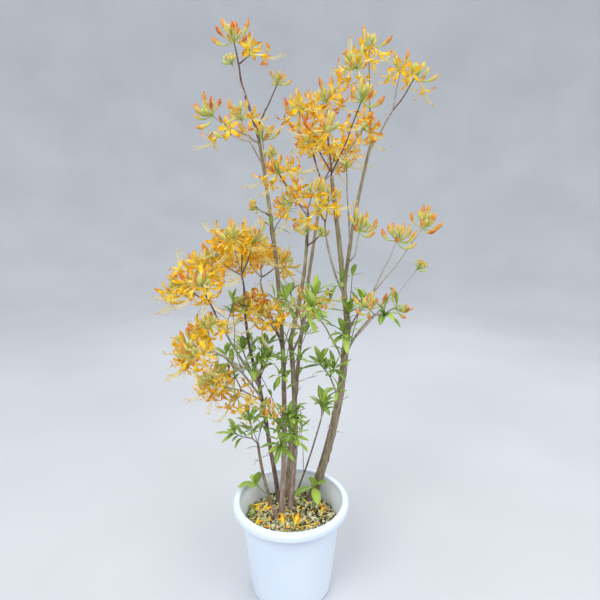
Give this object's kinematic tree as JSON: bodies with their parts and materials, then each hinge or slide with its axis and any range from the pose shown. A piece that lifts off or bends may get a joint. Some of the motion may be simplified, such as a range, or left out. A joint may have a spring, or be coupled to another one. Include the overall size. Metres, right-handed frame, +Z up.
{
  "type": "potted flowering shrub",
  "caption": "Tall, open deciduous shrub in orange-yellow blossom, with slender stems and trusses of long-stamened flowers, growing in a round white tapered pot with a rolled rim.",
  "frame": {"origin": "centre of the pot's flat underside", "axes": "+Z up the plant, +X to the right as the picture shows it, -Y towards the picture's camera"},
  "size_m": [0.501, 0.4043, 1.1144],
  "materials": {
    "pot": "smooth white, slightly bluish, lightly scuffed",
    "soil": "dark moist potting mix with pale granules and fallen petals",
    "bark": "thin grey-brown bark, reddish near the soil and paler on young twigs",
    "bloom": "soft matt petals, yellow-orange with deeper orange outsides",
    "bud": "closed flowers, yellow-green below and orange-red at the tip",
    "leaf": "fresh green, softly shining"
  },
  "bodies": {
    "root": {"pot": "pot", "soil": "soil", "stem_right": "bark", "stem_centre": "bark", "stem_left_centre": "bark", "stem_left": "bark", "stem_left_outer": "bark", "stem_slender": "bark", "stem_back": "bark", "old_stump": "bark", "bough_right_upper": "bark", "bough_right_back": "bark", "bough_right_low": "bark", "bough_mid": "bark", "bough_centre_upper": "bark", "bough_top_left": "bark", "bough_left_upper": "bark", "bough_left_outer": "bark", "bough_left_low": "bark", "bough_left_back": "bark", "bough_centre_low": "bark", "crown_top_left": "bloom", "sprig_top_left": "bud", "spray_inner_bud": "bud", "spray_far_left": "bud", "spray_high_left": "bloom", "cluster_stem_top": "bud", "sprig_stem_mid": "bud", "crown_candelabra": "bloom", "crown_back": "bloom", "spray_centre_left": "bloom", "cluster_centre": "bloom", "cluster_centre_right": "bloom", "cluster_centre_buds": "bud", "crown_top_right": "bloom", "crown_right": "bloom", "sprig_right_pale": "bud", "spray_right_outer": "bud", "spray_right_mid": "bud", "sprig_right_bare": "bud", "spray_right_low": "leaf", "leaves_right_fork": "leaf", "spray_centre_low": "bloom", "leaves_centre": "leaf", "leaves_front_low": "leaf", "leaves_right_stem": "leaf", "leaves_slender": "leaf", "leaves_left_low": "leaf", "leaves_left_inner": "leaf", "basal_leaves_left": "leaf", "basal_leaves_right": "leaf", "bloom_left_upper": "bloom", "bloom_left_outer": "bloom", "bloom_left_low": "bloom", "bloom_left_back": "bloom", "bloom_left_drooping": "bloom", "bloom_front": "bloom", "bloom_back": "leaf"}
  },
  "joints": []
}
